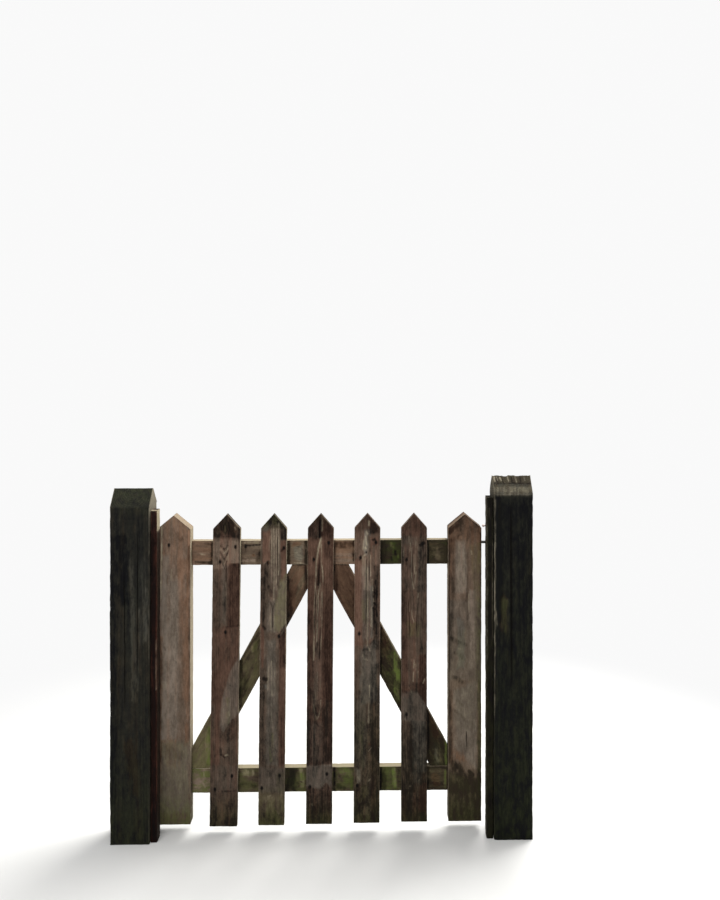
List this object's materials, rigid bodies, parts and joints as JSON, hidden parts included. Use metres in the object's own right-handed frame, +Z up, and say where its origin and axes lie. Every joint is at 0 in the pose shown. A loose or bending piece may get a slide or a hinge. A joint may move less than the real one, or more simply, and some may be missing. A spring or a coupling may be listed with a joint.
{
  "type": "timber picket garden gate with posts",
  "caption": "Weathered framed picket gate with pointed pales, hung on T-hinges between two timber posts with stop battens and a bar latch.",
  "frame": {"origin": "centre of the hinge post's foot, at ground level", "axes": "+X across the opening from the hinge post to the latch post, +Y through the gate from the path to the garden, +Z up"},
  "size_m": [1.17, 0.144, 1.009],
  "materials": {
    "post_timber": "rough, dark, damp and lichened",
    "stop_timber": "rough, dark remains of red-brown stain",
    "stile_timber": "weathered brown stain, greyed",
    "rail_timber": "weathered brown stain, green in the shade",
    "brace_timber": "weathered brown stain with algae",
    "picket_timber": "weathered brown stain, greyed",
    "hinge_iron": "black, worn and rusted at the edges",
    "latch_iron": "black, worn to grey metal on its rod"
  },
  "bodies": {
    "posts": {"hinge_post": "post_timber", "latch_post": "post_timber", "hinge_post_stop": "stop_timber", "latch_post_stop": "stop_timber", "bottom_hinge_plate": "hinge_iron", "bottom_hinge_pin": "hinge_iron", "top_hinge_plate": "hinge_iron", "top_hinge_pin": "hinge_iron", "latch_catch": "latch_iron", "latch_pawl": "latch_iron", "latch_pivot": "latch_iron"},
    "leaf": {"hanging_stile": "stile_timber", "closing_stile": "stile_timber", "bottom_rail": "rail_timber", "top_rail": "rail_timber", "left_brace": "brace_timber", "right_brace": "brace_timber", "picket_1": "picket_timber", "picket_2": "picket_timber", "picket_3": "picket_timber", "picket_4": "picket_timber", "picket_5": "picket_timber", "bottom_hinge_strap": "hinge_iron", "top_hinge_strap": "hinge_iron", "latch_striker": "latch_iron"}
  },
  "joints": [
    {"name": "gate_swing", "type": "hinge", "parent": "posts", "child": "leaf", "pos_m": [0.05875, 0.05755, 0], "axis": [0, 0, 1], "range_deg": [0, 105]}
  ]
}
